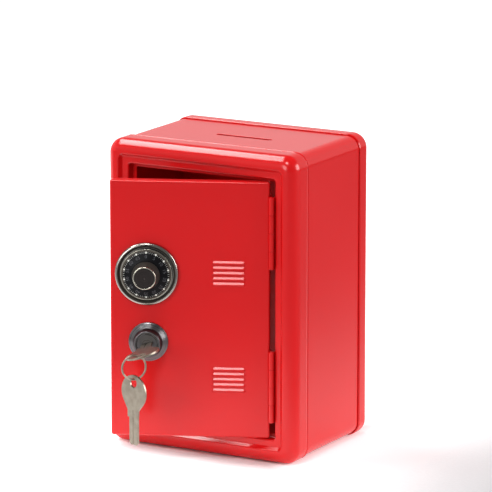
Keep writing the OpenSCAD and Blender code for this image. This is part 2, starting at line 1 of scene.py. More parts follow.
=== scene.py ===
# %% [markdown]
# # A toy safe coin bank
#
# The CAD model gives every part of this pressed steel bank its true place and size.
# This lesson dresses it: the sheet pressings get soft folds, the dial gets its numbers,
# the keys get worn edges, and every surface gets the finish of the real material.
# Blender works in metres, in the same frame as the CAD model: X to the right, Y to the
# back, Z up, with the floor at zero. Small sizes are written in millimetres, and MM turns
# them into metres.

# %% Load the frame
import json
import math
from collections import Counter

import bpy
from mathutils import Matrix, Vector

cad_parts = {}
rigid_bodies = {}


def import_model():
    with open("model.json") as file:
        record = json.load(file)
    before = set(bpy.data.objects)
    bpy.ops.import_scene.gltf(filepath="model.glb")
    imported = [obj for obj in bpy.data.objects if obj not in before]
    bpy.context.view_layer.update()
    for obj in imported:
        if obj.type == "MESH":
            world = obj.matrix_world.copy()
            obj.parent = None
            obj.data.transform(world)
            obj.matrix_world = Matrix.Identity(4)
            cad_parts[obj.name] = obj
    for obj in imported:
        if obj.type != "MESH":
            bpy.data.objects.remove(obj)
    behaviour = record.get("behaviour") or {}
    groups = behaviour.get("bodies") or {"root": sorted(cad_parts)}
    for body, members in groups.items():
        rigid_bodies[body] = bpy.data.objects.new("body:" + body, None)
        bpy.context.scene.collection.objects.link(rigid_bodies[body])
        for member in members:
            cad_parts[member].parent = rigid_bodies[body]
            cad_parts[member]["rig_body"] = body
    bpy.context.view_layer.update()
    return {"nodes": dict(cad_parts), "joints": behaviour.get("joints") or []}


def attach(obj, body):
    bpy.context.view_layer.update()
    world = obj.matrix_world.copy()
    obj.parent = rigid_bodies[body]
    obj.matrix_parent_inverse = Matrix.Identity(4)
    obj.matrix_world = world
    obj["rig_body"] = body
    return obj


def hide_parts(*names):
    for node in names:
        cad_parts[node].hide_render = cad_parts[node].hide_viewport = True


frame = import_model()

MM = 0.001
nodes = frame["nodes"]
joints = {joint["name"]: joint for joint in frame["joints"]}

# %% [markdown]
# ## The camera
#
# The bank is seen from its front right and a little from above, through a long lens, so
# its edges stay nearly parallel. The camera is aimed a little above the bank's middle,
# so it needs no shift.

# %% Place the camera
def place_camera(place, target, lens):
    data = bpy.data.cameras.new("camera")
    data.lens = lens
    data.sensor_width = 36
    data.clip_start, data.clip_end = 0.1, 20
    camera = bpy.data.objects.new("camera", data)
    bpy.context.scene.collection.objects.link(camera)
    camera.location = place
    camera.rotation_euler = (Vector(target) - Vector(place)).to_track_quat("-Z", "Y").to_euler()
    bpy.context.scene.camera = camera
    return camera


camera = place_camera(
    place=(1.1642, -2.0134, 0.6337), target=(0.00504, 0.03265, 0.11348), lens=307.4
)
print("camera distance, m:", round(camera.location.length, 3))

# %% [markdown]
# ## Colours and nodes
#
# A colour is picked as an sRGB hex value, as on a paint chart, and Cycles calculates in
# linear light, so one function converts it. A second function adds a shader node, sets it
# and wires it. Each of the bank's finishes ends the same way: a colour, a roughness that
# drifts a little and a fine bump go to one Principled shader.

# %% Helpers for materials
def linear(code):
    """Turns a hex colour, such as #c61a1e, into linear red, green, blue and alpha."""
    parts = [int(code[i : i + 2], 16) / 255 for i in (1, 3, 5)]
    parts = [c / 12.92 if c <= 0.04045 else ((c + 0.055) / 1.055) ** 2.4 for c in parts]
    return (*parts, 1.0)


def add_node(tree, kind, sockets=None, **settings):
    """Adds a node, sets its properties, and fills its sockets with values or with links."""
    node = tree.nodes.new(kind)
    for name, value in settings.items():
        setattr(node, name, value)
    for name, value in (sockets or {}).items():
        if isinstance(value, bpy.types.NodeSocket):
            tree.links.new(value, node.inputs[name])
        else:
            node.inputs[name].default_value = value
    return node


print("signal red in linear light:", [round(c, 3) for c in linear("#c61a1e")])

# %% Helpers for finishes
def new_finish(name, **constants):
    """A material and its Principled shader. What is the same all over is set on its sockets."""
    material = bpy.data.materials.new(name)
    material.use_nodes = True
    shader = material.node_tree.nodes["Principled BSDF"]
    for socket, value in constants.items():
        shader.inputs[socket].default_value = value
    return material, material.node_tree, shader


def two_tones(tree, value, dark, light, low=0.3, high=0.7):
    """Turns a grey value into a soft step between two hex colours."""
    ramp = add_node(tree, "ShaderNodeValToRGB", {"Fac": value})
    ramp.color_ramp.interpolation = "EASE"
    ends = ramp.color_ramp.elements
    ends[0].position, ends[0].color = low, linear(dark)
    ends[1].position, ends[1].color = high, linear(light)
    return ramp.outputs["Color"]


def wire_surface(tree, shader, colour, sheen, roughness, relief, strength, depth):
    """Wires the colour, a roughness that follows the sheen, and a bump that follows the relief."""
    gloss = add_node(
        tree, "ShaderNodeMapRange",
        {"Value": sheen, "To Min": roughness[0], "To Max": roughness[1]},
    )
    bump = add_node(
        tree, "ShaderNodeBump", {"Height": relief, "Strength": strength, "Distance": depth}
    )
    tree.links.new(colour, shader.inputs["Base Color"])
    tree.links.new(gloss.outputs["Result"], shader.inputs["Roughness"])
    tree.links.new(bump.outputs["Normal"], shader.inputs["Normal"])


print("materials so far:", len(bpy.data.materials))

# %% [markdown]
# ## Red stoving enamel
#
# The cabinet is sprayed with a gloss enamel and baked. Such paint levels out, but not
# quite: it keeps a faint ripple, called orange peel, a millimetre or two across. It has a
# soft gloss, and mirrors a pale room mostly where it is seen at a flat angle. A fine noise
# bump makes the ripple, and a larger noise lets the colour and the gloss drift a little.

# %% Mix the enamel
def mix_enamel():
    material, tree, shader = new_finish("red_stoving_enamel", IOR=1.56)
    place = add_node(tree, "ShaderNodeTexCoord").outputs["Object"]
    drift = add_node(
        tree, "ShaderNodeTexNoise", {"Vector": place, "Scale": 1 / (60 * MM), "Detail": 0.0}
    ).outputs["Fac"]
    peel = add_node(
        tree, "ShaderNodeTexNoise", {"Vector": place, "Scale": 1 / (1.6 * MM), "Detail": 1.0}
    ).outputs["Fac"]
    colour = two_tones(tree, drift, "#d1181b", "#d61a1d", 0.0, 1.0)
    wire_surface(tree, shader, colour, drift, (0.17, 0.21), peel, 0.06, 0.04 * MM)
    return material


enamel = mix_enamel()
print("finish:", enamel.name)

# %% [markdown]
# ## Where the dial and the lock stand
#
# The dial and the lock are modelled upright round the Z axis and then moved to the open
# door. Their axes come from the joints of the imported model, so they can't drift away
# from the CAD parts. A place is a matrix: X to the right along the door, Y up, and Z
# straight out of the door's face.

# %% Find the places on the door
DOOR_W, DOOR_H = 90.05 * MM, 147.6 * MM
DIAL_INSET, DIAL_RISE = 20.75 * MM, 94.15 * MM
KEY_TURN = math.radians(17)


def place_on_door(joint, turn=0.0):
    out = Vector(joints[joint]["axis"]).normalized()
    up = Vector((0, 0, 1))
    turned = Matrix((up.cross(out), up, out)).transposed().to_4x4()
    return Matrix.Translation(joints[joint]["pos_m"]) @ turned @ Matrix.Rotation(turn, 4, "Z")


dial_place = place_on_door("dial_turn")
lock_place = place_on_door("lock_turn")
plug_place = place_on_door("lock_turn", KEY_TURN)
door_place = dial_place @ Matrix.Translation((DOOR_W / 2 - DIAL_INSET, DOOR_H / 2 - DIAL_RISE, 0))
print("dial centre, mm:", [round(c / MM, 2) for c in dial_place.translation])

# %% [markdown]
# ## Bright metals
#
# Several metals meet on the door. The bezel and the lock are turned and satin chromed,
# so they carry fine rings about their own axis. The lock's barrel wall is rougher, and its
# darker tint is painted shade. The keys and the wire ring are nickel plated and tumbled,
# which leaves soft marks every way. The hidden nuts and washers are zinc plated, with a
# mottled spangle. A metal's colour is its reflection, so what differs is the tint, the
# roughness and the direction of the marks.

# %% Plate the metals
def about_axis(tree, place):
    """Object coordinates centred on a turned part, with Z along its axis."""
    home = place.inverted()
    return add_node(
        tree, "ShaderNodeMapping",
        {
            "Vector": add_node(tree, "ShaderNodeTexCoord").outputs["Object"],
            "Location": home.translation,
            "Rotation": home.to_euler(),
        },
    ).outputs["Vector"]


def turned_metal(name, dark, light, place, ring_width, roughness):
    """Metal from a lathe: a noise that changes only with the distance from the axis."""
    material, tree, shader = new_finish(name, Metallic=1.0)
    flat = add_node(
        tree, "ShaderNodeVectorMath", {0: about_axis(tree, place), 1: (1.0, 1.0, 0.0)},
        operation="MULTIPLY",
    )
    radius = add_node(tree, "ShaderNodeVectorMath", {0: flat.outputs["Vector"]}, operation="LENGTH")
    rings = add_node(
        tree, "ShaderNodeTexNoise",
        {"W": radius.outputs["Value"], "Scale": 1 / ring_width, "Detail": 3.0},
        noise_dimensions="1D",
    ).outputs["Fac"]
    span = (roughness * 0.75, roughness * 1.25)
    colour = two_tones(tree, rings, dark, light)
    wire_surface(tree, shader, colour, rings, span, rings, 0.3, 0.02 * MM)
    return material


def tumbled_metal(name, dark, light, roughness, mark_width):
    """Plated metal with a soft mottle in its colour and fine marks in its gloss."""
    material, tree, shader = new_finish(name, Metallic=1.0)
    place = add_node(tree, "ShaderNodeTexCoord").outputs["Object"]
    mottle = add_node(
        tree, "ShaderNodeTexNoise", {"Vector": place, "Scale": 1 / (4 * MM), "Detail": 4.0}
    ).outputs["Fac"]
    marks = add_node(
        tree, "ShaderNodeTexNoise", {"Vector": place, "Scale": 1 / mark_width, "Detail": 2.0}
    ).outputs["Fac"]
    span = (roughness * 0.75, roughness * 1.3)
    colour = two_tones(tree, mottle, dark, light)
    wire_surface(tree, shader, colour, marks, span, marks, 0.15, 0.01 * MM)
    return material


LOCK_RING = 0.45 * MM
bezel_chrome = turned_metal("satin_chrome_bezel", "#a5a19b", "#bbb7b0", dial_place, 0.35 * MM, 0.22)
# The barrel's chrome is rougher, and darker in tint as painted shade.
dull_and_shaded_chrome = turned_metal("dull_and_shaded_chrome_barrel", "#4a4a4d", "#5c5b5f", lock_place, LOCK_RING, 0.45)
lock_chrome = turned_metal("satin_chrome_lock", "#69686a", "#817f80", lock_place, LOCK_RING, 0.3)
nickel = tumbled_metal("tumbled_nickel_plate", "#978f83", "#a79f92", 0.38, 0.5 * MM)
zinc = tumbled_metal("bright_zinc_plate", "#8f9496", "#a9acae", 0.34, 0.8 * MM)
print("metals:", [metal.name for metal in (bezel_chrome, dull_and_shaded_chrome, lock_chrome, nickel, zinc)])

# %% [markdown]
# ## The dial's plastics and its cap
#
# The dial and the knob are moulded in black styrene. A mould is spark-textured, so the
# plastic has a fine grain that softens its gloss. The dots and ticks are stamped in white
# ink. The numbers are the same ink, worn thin and grey by fingers. The plastics' IOR is set
# below styrene's own 1.59, to match how little the dial mirrors. The knob's cap is a disc
# of dark anodised aluminium, brushed in circles, inside a polished rim.

# %% Mould the plastics
def moulded_plastic(name, dark, light, roughness):
    material, tree, shader = new_finish(name, IOR=1.3)
    place = add_node(tree, "ShaderNodeTexCoord").outputs["Object"]
    grain = add_node(
        tree, "ShaderNodeTexNoise", {"Vector": place, "Scale": 1 / (0.3 * MM), "Detail": 3.0}
    ).outputs["Fac"]
    span = (roughness * 0.8, roughness * 1.2)
    colour = two_tones(tree, grain, dark, light)
    wire_surface(tree, shader, colour, grain, span, grain, 0.2, 0.02 * MM)
    return material


black_styrene = moulded_plastic("moulded_black_styrene", "#0c0c10", "#131317", 0.4)
# Grey: the dial's band, and a painted reflection on the bezel's inner flank.
grey_styrene_and_painted_reflection = moulded_plastic("moulded_grey_styrene_and_painted_reflection", "#4a443e", "#58524b", 0.38)
knob_styrene = moulded_plastic("moulded_knob_styrene", "#3a3733", "#46423d", 0.36)
white_ink = moulded_plastic("white_stamping_ink", "#d6d7d0", "#f0f1ea", 0.5)
worn_ink = moulded_plastic("worn_stamping_ink", "#3f3f43", "#77777b", 0.5)
cap_metal = turned_metal("brushed_anodised_cap", "#3c3735", "#575150", dial_place, 0.22 * MM, 0.4)
rim_metal = turned_metal("polished_knob_rim", "#bcb9ac", "#d3d0c2", dial_place, 0.3 * MM, 0.2)
print("materials so far:", len(bpy.data.materials))

# %% [markdown]
# ## Bench tools
#
# Blender's operators act on whatever is selected, so each step starts with nothing
# selected. What is then selected in a mesh is picked in code, with the mesh in object
# mode. Pressed and turned pieces begin as a section: a chain of edges drawn point by
# point, which is then spun or drawn out. `round_corners` puts a small bend where a
# section has a corner, because neither pressed sheet nor a turned edge is ever sharp.

# %% Draw a section
def clear_selection(active=None):
    if bpy.context.mode != "OBJECT":
        bpy.ops.object.mode_set(mode="OBJECT")
    bpy.ops.object.select_all(action="DESELECT")
    if active:
        active.select_set(True)
        bpy.context.view_layer.objects.active = active


def deselect_mesh(kind):
    """Deselects all of the active mesh, leaves it in that select mode, and in object mode."""
    bpy.ops.object.mode_set(mode="EDIT")
    bpy.ops.mesh.select_mode(type=kind)
    bpy.ops.mesh.select_all(action="DESELECT")
    bpy.ops.object.mode_set(mode="OBJECT")


def round_corners(points, steps=5):
    """Takes points (a, b) or (a, b, r) in mm and returns metres. A point with a radius r becomes
    an arc."""
    made = []
    for i, point in enumerate(points):
        corner = Vector(point[:2])
        if len(point) == 2:
            made.append(corner * MM)
            continue
        before = (Vector(points[i - 1][:2]) - corner).normalized()
        after = (Vector(points[i + 1][:2]) - corner).normalized()
        half = before.angle(after) / 2
        centre = corner + (before + after).normalized() * point[2] / math.sin(half)
        first = corner + before * point[2] / math.tan(half) - centre
        last = corner + after * point[2] / math.tan(half) - centre
        sweep = math.atan2(first.x * last.y - first.y * last.x, first.dot(last))
        for k in range(steps + 1):
            made.append((centre + Matrix.Rotation(sweep * k / steps, 2) @ first) * MM)
    return made


def draw_chain(points):
    """Draws a chain of edges through the points, and leaves it selected in edit mode."""
    clear_selection()
    bpy.ops.mesh.primitive_plane_add(size=0.1 * MM, location=points[0])
    bpy.ops.object.transform_apply(location=True)
    bpy.ops.object.mode_set(mode="EDIT")
    bpy.ops.mesh.select_mode(type="VERT")
    bpy.ops.mesh.select_all(action="SELECT")
    bpy.ops.mesh.merge(type="CENTER")
    for here, there in zip(points, points[1:]):
        bpy.ops.mesh.extrude_vertices_move(TRANSFORM_OT_translate={"value": there - here})
    bpy.ops.mesh.select_all(action="SELECT")
    return bpy.context.object


print("a 2 mm bend in", len(round_corners([(0, 5), (0, 0, 2), (5, 0)])), "points")

# %% [markdown]
# ## Finishing a piece
#
# A pressing is modelled as a skin, and `make_solid` gives it the sheet's thickness. A sharp
# edge catches no light, so `round_edges` gives every cut edge a small bevel. A finished
# piece keeps its place in its mesh, with its object at the origin. It is smoothed by angle,
# and its normals are weighted by the faces' sizes, so that flat faces stay flat beside a
# bevel. Then it takes its finish, rides on the body that carries it, and hides the CAD
# parts that it stands for.

# %% Modify a piece
def apply_modifier(piece, kind, **settings):
    clear_selection(piece)
    modifier = piece.modifiers.new(kind.lower(), kind)
    for key, value in settings.items():
        setattr(modifier, key, value)
    bpy.ops.object.modifier_apply(modifier=modifier.name)


def round_edges(piece, width, angle=40, segments=3):
    """Rounds every edge that is sharper than the angle. The width is in mm."""
    apply_modifier(
        piece, "BEVEL", width=width * MM, segments=segments,
        limit_method="ANGLE", angle_limit=math.radians(angle),
    )


def close_up(piece, gap=0.002 * MM):
    """Merges doubles and turns every face outwards."""
    clear_selection(piece)
    bpy.ops.object.mode_set(mode="EDIT")
    bpy.ops.mesh.select_all(action="SELECT")
    bpy.ops.mesh.remove_doubles(threshold=gap)
    bpy.ops.mesh.normals_make_consistent(inside=False)
    bpy.ops.object.mode_set(mode="OBJECT")


def make_solid(piece, thickness, even=True):
    """Closes up a skin and grows it inwards."""
    close_up(piece)
    apply_modifier(piece, "SOLIDIFY", thickness=thickness, offset=-1.0, use_even_offset=even)


# %% Cut, copy and join pieces
def box_cutter(size, place):
    """A box to cut with, of that size in mm."""
    clear_selection()
    bpy.ops.mesh.primitive_cube_add(size=1)
    cutter = bpy.context.object
    cutter.matrix_world = place @ Matrix.Diagonal([side * MM for side in size] + [1])
    return cutter


def cut_away(piece, cutter):
    """Takes the cutter's shape out of the piece, and throws the cutter away."""
    apply_modifier(piece, "BOOLEAN", object=cutter, operation="DIFFERENCE", solver="EXACT")
    bpy.data.objects.remove(cutter)


def copy_piece(piece, name):
    """A copy with its own mesh."""
    copy = bpy.data.objects.new(name, piece.data.copy())
    bpy.context.scene.collection.objects.link(copy)
    return copy


def join_pieces(pieces):
    clear_selection(pieces[0])
    for piece in pieces:
        piece.select_set(True)
    bpy.ops.object.join()
    return bpy.context.object


print("meshes in the scene:", len(bpy.data.meshes))

# %% Finish a piece
def paint_faces(piece, finishes, choose):
    """Gives a turned piece its finishes. Which one a face takes is chosen from its radius and
    height, in mm, and from how far it faces up."""
    for finish in finishes:
        piece.data.materials.append(finish)
    for face in piece.data.polygons:
        radius, height = face.center.xy.length / MM, face.center.z / MM
        face.material_index = int(choose(radius, height, face.normal.z))


def finish_piece(piece, name, finish, body, stands_for=(), place=None):
    """Places, smooths and names a piece. With no finish given, it keeps those it has."""
    if place:
        piece.matrix_world = place @ piece.matrix_world
    clear_selection(piece)
    bpy.ops.object.transform_apply(location=True, rotation=True, scale=True)
    bpy.ops.object.shade_smooth_by_angle(angle=math.radians(30))
    apply_modifier(piece, "WEIGHTED_NORMAL", keep_sharp=True)
    piece.name = piece.data.name = name
    if finish:
        piece.data.materials.clear()
        piece.data.materials.append(finish)
    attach(piece, body)
    if stands_for:
        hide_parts(*stands_for)
    print(f"{name}: {len(piece.data.polygons)} faces")


print("CAD parts to dress:", len(nodes))

# %% [markdown]
# ## Sweeping a pressing round a rectangle
#
# The cabinet's pressings are the same section all the way round, with round corners. The
# section is drawn at the right-hand side. It is extruded up that side, spun a quarter
# turn round the corner's axis, and so on four times, until it meets its own start.

# %% The sweep
def sweep_round(section, width, height, inset, to_world, steps=10):
    """Sweeps (u, v) points round a rectangle with its bottom at 0, with u in from its edge. The
    corners turn about axes `inset` in from the edges, and to_world places (x, v, height)."""
    side, low, high = width / 2 - inset, inset, height - inset
    turn = to_world.to_3x3()
    axis = turn @ Vector((0, 1, 0)) * turn.determinant()
    piece = draw_chain([to_world @ Vector((width / 2 - u, v, low)) for u, v in section])
    legs = (
        ((0, 0, high - low), (side, 0, high)),
        ((-2 * side, 0, 0), (-side, 0, high)),
        ((0, 0, low - high), (-side, 0, low)),
        ((2 * side, 0, 0), (side, 0, low)),
    )
    for leg, corner in legs:
        centre = to_world @ Vector(corner)
        bpy.ops.mesh.extrude_region_move(TRANSFORM_OT_translate={"value": turn @ Vector(leg)})
        bpy.ops.mesh.spin(steps=steps, angle=math.pi / 2, center=centre, axis=axis)
    bpy.ops.mesh.select_all(action="SELECT")
    bpy.ops.mesh.remove_doubles(threshold=0.005 * MM)
    bpy.ops.object.mode_set(mode="OBJECT")
    return piece


def select_rim(piece, test):
    """Selects the open edges whose two ends pass the test, and stays in edit mode."""
    clear_selection(piece)
    deselect_mesh("EDGE")
    faces_on = Counter(key for face in piece.data.polygons for key in face.edge_keys)
    points = piece.data.vertices
    for edge in piece.data.edges:
        if faces_on[edge.key] < 2 and all(test(points[i].co) for i in edge.vertices):
            edge.select = True
            for i in edge.vertices:
                points[i].select = True
    bpy.ops.object.mode_set(mode="EDIT")


def at_depth(depth):
    """A test for points at that Y."""
    return lambda point: abs(point.y - depth) < 0.01 * MM


print("sweep ready")

# %% [markdown]
# ## The front frame
#
# The front is one deep pressing: a skirt that laps over the side sheet, a wide rounded
# nose, a slanted step down to a ledge, and the folded edge of the doorway. Its corners
# have a large radius outside and a small one inside, and no single sweep gives both. So
# the section is cut in three, each part is swept round its own corner axes, and the flat
# bands between the rings are bridged. The stop lip is grown last, by moving each quarter
# of the inner edge towards the middle. Solidify then gives the skin its thickness. The
# skirt dips a little and rises again to its rear edge: that low bead stiffens the edge,
# and shows as a thin bright line round the cabinet.

# %% Sweep and bridge the front frame
WIDTH, HEIGHT, DEPTH = 123 * MM, 178 * MM, 89.5 * MM
FRONT_Y, BACK_Y = -11.95 * MM, 77.55 * MM
SHEET = 0.8 * MM
CORNER_R, STEP_AXIS, DOORWAY_AXIS = 8.8 * MM, 11.3 * MM, 15.5 * MM
LEDGE, LIP = 2.0, 7.2  # mm behind the front face
from_front = Matrix.Translation((0, FRONT_Y, 0))

nose = round_corners([
    (0, 16.9), (0, 16.1, 0.15), (0.28, 15.75, 0.15), (0, 14.2, 0.4), (0, 13.0), (0, 0, 7),
    (7.05, 0),
], steps=12)
step = round_corners([(7.7, 0), (8.1, 0, 0.9), (10.0, LEDGE, 0.6), (10.4, LEDGE)])
doorway = round_corners([(12.6, LEDGE), (14.0, LEDGE, 1.2), (14.0, LIP, 0.35), (14.5, LIP)])
front = join_pieces([
    sweep_round(section, WIDTH, HEIGHT, inset, from_front)
    for section, inset in ((nose, CORNER_R), (step, STEP_AXIS), (doorway, DOORWAY_AXIS))
])
for depth in (0, LEDGE):
    select_rim(front, at_depth(FRONT_Y + depth * MM))
    bpy.ops.mesh.bridge_edge_loops()
clear_selection(front)
print("front frame's skin:", len(front.data.polygons), "faces")

# %% Grow the stop lip and make the frame solid
LIP_GROWTH = 1.7 * MM
select_rim(front, at_depth(FRONT_Y + LIP * MM))
bpy.ops.mesh.extrude_region_move(TRANSFORM_OT_translate={"value": (0, 0, 0)})
bpy.ops.object.mode_set(mode="OBJECT")
inner_edge = [vertex.index for vertex in front.data.vertices if vertex.select]
for right, upper in ((1, 1), (1, -1), (-1, 1), (-1, -1)):
    deselect_mesh("VERT")
    for index in inner_edge:
        vertex = front.data.vertices[index]
        vertex.select = vertex.co.x * right > 0 and (vertex.co.z - HEIGHT / 2) * upper > 0
    bpy.ops.object.mode_set(mode="EDIT")
    bpy.ops.transform.translate(value=(-LIP_GROWTH * right, 0, -LIP_GROWTH * upper))
    bpy.ops.object.mode_set(mode="OBJECT")
make_solid(front, SHEET)
round_edges(front, 0.3, angle=60)
finish_piece(
    front, "front_frame_pressing", enamel, "cabinet", ["front_frame"]
)

# %% [markdown]
# ## The back pan
#
# The back is a shallow pan with a rounded edge, pushed over the rear of the side sheet.
# The same sweep makes it, turned to face the back, and one face closes its flat middle.
# Its open edge is turned in a little, to hug the sheet.

# %% Press the back pan
from_back = Matrix.Translation((0, BACK_Y, 0)) @ Matrix.Diagonal((1, -1, 1, 1))
pan_edge = round_corners([(0.45, 12), (0, 11.2, 0.5), (0, 0, 6), (6.3, 0)], steps=12)
back = sweep_round(pan_edge, WIDTH, HEIGHT, CORNER_R, from_back)
select_rim(back, at_depth(BACK_Y))
bpy.ops.mesh.edge_face_add()
make_solid(back, SHEET)
round_edges(back, 0.38, angle=60, segments=4)
finish_piece(back, "back_pan_pressing", enamel, "cabinet", ["back_panel"])

# %% [markdown]
# ## The side sheet and its coin slot
#
# One sheet is wrapped round the sides, top and bottom, and both pressings lap over it, so
# it lies a sheet's thickness and a hair deeper. It is swept as a plain band. The slot is
# punched with a bar that has round ends, made by bevelling the upright edges of a box.

# %% Wrap the sides
WRAP_INSET, WRAP_FRONT, WRAP_REAR = 0.9, 8, 82.5  # mm, the last two behind the front face
band = round_corners([(WRAP_INSET, WRAP_FRONT), (WRAP_INSET, WRAP_REAR)])
wrap = sweep_round(band, WIDTH, HEIGHT, CORNER_R, from_front, steps=14)
make_solid(wrap, SHEET)
print("side sheet:", len(wrap.data.polygons), "faces")

# %% Punch the coin slot
SLOT_LENGTH, SLOT_WIDTH = 36, 3.2
SLOT_SHIFT, SLOT_SETBACK = 4.2 * MM, 44.2 * MM
slot_place = Matrix.Translation((SLOT_SHIFT, FRONT_Y + SLOT_SETBACK, HEIGHT - 1.3 * MM))
punch = box_cutter((SLOT_LENGTH, SLOT_WIDTH, 4), slot_place)
bpy.ops.object.transform_apply(location=True, rotation=True, scale=True)
deselect_mesh("EDGE")
for edge in punch.data.edges:
    bottom, top = (punch.data.vertices[i].co.z for i in edge.vertices)
    edge.select = abs(top - bottom) > 3 * MM
bpy.ops.object.mode_set(mode="EDIT")
bpy.ops.mesh.bevel(offset=1.5 * MM, segments=6)
bpy.ops.object.mode_set(mode="OBJECT")
cut_away(wrap, punch)
round_edges(wrap, 0.2, angle=60)
finish_piece(wrap, "side_sheet", enamel, "cabinet", ["body_wrap"])

# %% [markdown]
# ## The louvre, modelled once
#
# A louvre is lanced and formed in one stroke: the sheet is slit along the lower edge, and
# a hood is pushed out above the slit. Its section starts flush at the top, slants out,
# rounds over and stops short of the door, which leaves the dark slit. The section is
# drawn out along the louvre, and each end is spun a quarter turn to close it.

# %% Form one louvre
LOUVRE_LENGTH, LOUVRE_FOOT = 17, -0.05


def form_louvre():
    half, foot = LOUVRE_LENGTH / 2 * MM, LOUVRE_FOOT * MM
    section = round_corners(
        [(1.6, LOUVRE_FOOT), (1.2, 0.0, 0.3), (-0.2, 1.0, 0.5), (-0.85, 0.45)], steps=6
    )
    hood = draw_chain([Vector((-half, y, z)) for y, z in section])
    bpy.ops.mesh.extrude_region_move(TRANSFORM_OT_translate={"value": (2 * half, 0, 0)})
    bpy.ops.mesh.spin(steps=7, angle=math.pi / 2, center=(half, 0, foot), axis=(0, -1, 0))
    select_rim(hood, lambda point: abs(point.x + half) < 0.001 * MM)
    bpy.ops.mesh.spin(steps=7, angle=math.pi / 2, center=(-half, 0, foot), axis=(0, 1, 0))
    bpy.ops.object.mode_set(mode="OBJECT")
    make_solid(hood, 0.4 * MM, even=False)
    return hood


louvre = form_louvre()
print("one louvre, mm:", [round(side / MM, 2) for side in louvre.dimensions])

# %% [markdown]
# ## The door
#
# The door is a shallow tray with a tight bend all round. It is swept like the frame, its
# face is closed, and it is made solid. Two round holes let the dial's bush and the lock
# through, and ten slits open behind the louvres, which are joined on as copies.

# %% Press the tray and drill it
BEND_AXIS, DIAL_HOLE, LOCK_HOLE = 1.35 * MM, 4.4 * MM, 7.55 * MM
door_sweep = door_place @ Matrix.Translation((0, -DOOR_H / 2, 0)) @ Matrix(
    ((1, 0, 0, 0), (0, 0, 1, 0), (0, -1, 0, 0), (0, 0, 0, 1))
)
tray_edge = round_corners([(0, 5.0), (0, 0, 1.2), (1.3, 0)], steps=6)
door = sweep_round(tray_edge, DOOR_W, DOOR_H, BEND_AXIS, door_sweep, steps=5)
door_out = Vector(joints["dial_turn"]["axis"]).normalized()
select_rim(door, lambda point: abs((point - door_place.translation).dot(door_out)) < 0.01 * MM)
bpy.ops.mesh.edge_face_add()
make_solid(door, SHEET)
for place, radius in ((dial_place, DIAL_HOLE), (lock_place, LOCK_HOLE)):
    clear_selection()
    bpy.ops.mesh.primitive_cylinder_add(vertices=64, radius=radius, depth=6 * MM)
    drill = bpy.context.object
    drill.matrix_world = place
    cut_away(door, drill)
print("drilled tray:", len(door.data.polygons), "faces")

# %% Cut the slits and join the louvres
LOUVRES, LOUVRE_INSET, LOUVRE_PITCH = 5, 23.2 * MM, 3.07 * MM
GROUP_RISES = (94.8 * MM, 33.4 * MM)  # heights of the groups' middles above the door's bottom
louvre_places = [
    door_place @ Matrix.Translation(
        (DOOR_W / 2 - LOUVRE_INSET, rise - DOOR_H / 2 + (i - LOUVRES // 2) * LOUVRE_PITCH, 0)
    )
    for rise in GROUP_RISES
    for i in range(LOUVRES)
]
slit_size, behind_hood = (LOUVRE_LENGTH, 1.4, 3), Matrix.Translation((0, -0.1 * MM, 0))
cut_away(door, join_pieces([box_cutter(slit_size, place @ behind_hood) for place in louvre_places]))
hoods = [copy_piece(louvre, "hood") for place in louvre_places]
for hood, place in zip(hoods, louvre_places):
    hood.matrix_world = place
bpy.data.objects.remove(louvre)
door = join_pieces([door] + hoods)
finish_piece(door, "door_pressing", enamel, "door", ["door_panel"])

# %% [markdown]
# ## Turned parts
#
# Bezel, dial, knob and lock are all turned shapes. Each starts as a section of radius and
# height, is spun once round, and has its doubles merged. One lathe function serves all,
# and `round_corners` keeps every edge as soft as a lathe and a polishing mop leave it.

# %% The lathe
def turn_on_lathe(section, steps=96):
    piece = draw_chain([Vector((radius, 0, height)) for radius, height in section])
    bpy.ops.mesh.spin(steps=steps, angle=math.tau, center=(0, 0, 0), axis=(0, 0, 1))
    bpy.ops.object.mode_set(mode="OBJECT")
    close_up(piece)
    return piece


print("lathe ready")

# %% [markdown]
# ## The dial's bezel
#
# The bezel is a chromed ring with a bright rounded rim. Its inner flank is coloured grey
# in place of chrome, a painted reflection, and falls to a dark well where the dial turns. A
# small V is filed in the top of the rim, and it shows which number is set. Behind, its bush
# passes through the door.

# %% Turn the bezel
FLANK_IN, FLANK_OUT = 14.6, 16.55
bezel = turn_on_lathe(round_corners([
    (2.55, -2.6), (4.35, -2.6, 0.2), (4.35, 0.05), (18.0, 0.05, 0.2), (18.0, 2.6, 1.2),
    (16.6, 2.6, 0.15), (15.25, 0.9, 0.2), (2.55, 0.9), (2.55, -2.6),
]))
on_rim = Matrix.Translation((0, 16.5 * MM, 2.4 * MM))
cut_away(bezel, box_cutter((1.1, 1.1, 1.4), on_rim @ Matrix.Rotation(math.radians(45), 4, "Z")))
# The bezel's inner flank takes the grey, as a painted reflection.
paint_faces(
    bezel, (bezel_chrome, grey_styrene_and_painted_reflection),
    lambda radius, height, up: up > 0.1 and FLANK_IN < radius < FLANK_OUT and height < 2.5,
)
finish_piece(bezel, "dial_bezel_turned", None, "door", ["dial_bezel"], dial_place)

# %% [markdown]
# ## The dial and its numbers
#
# The dial is moulded with a raised edge, a narrow band and a cone for the numbers. The
# edge is bright, the band is lacquered grey, and the cone is left black. Each number is a
# text object turned into a mesh, tilted to lie on the cone, and turned to its place.
# Fourteen numbers, from 0 to 65 in fives, have a dot each, with four fine ticks between
# two dots. Dots and ticks stand a hair proud, and catch the light.

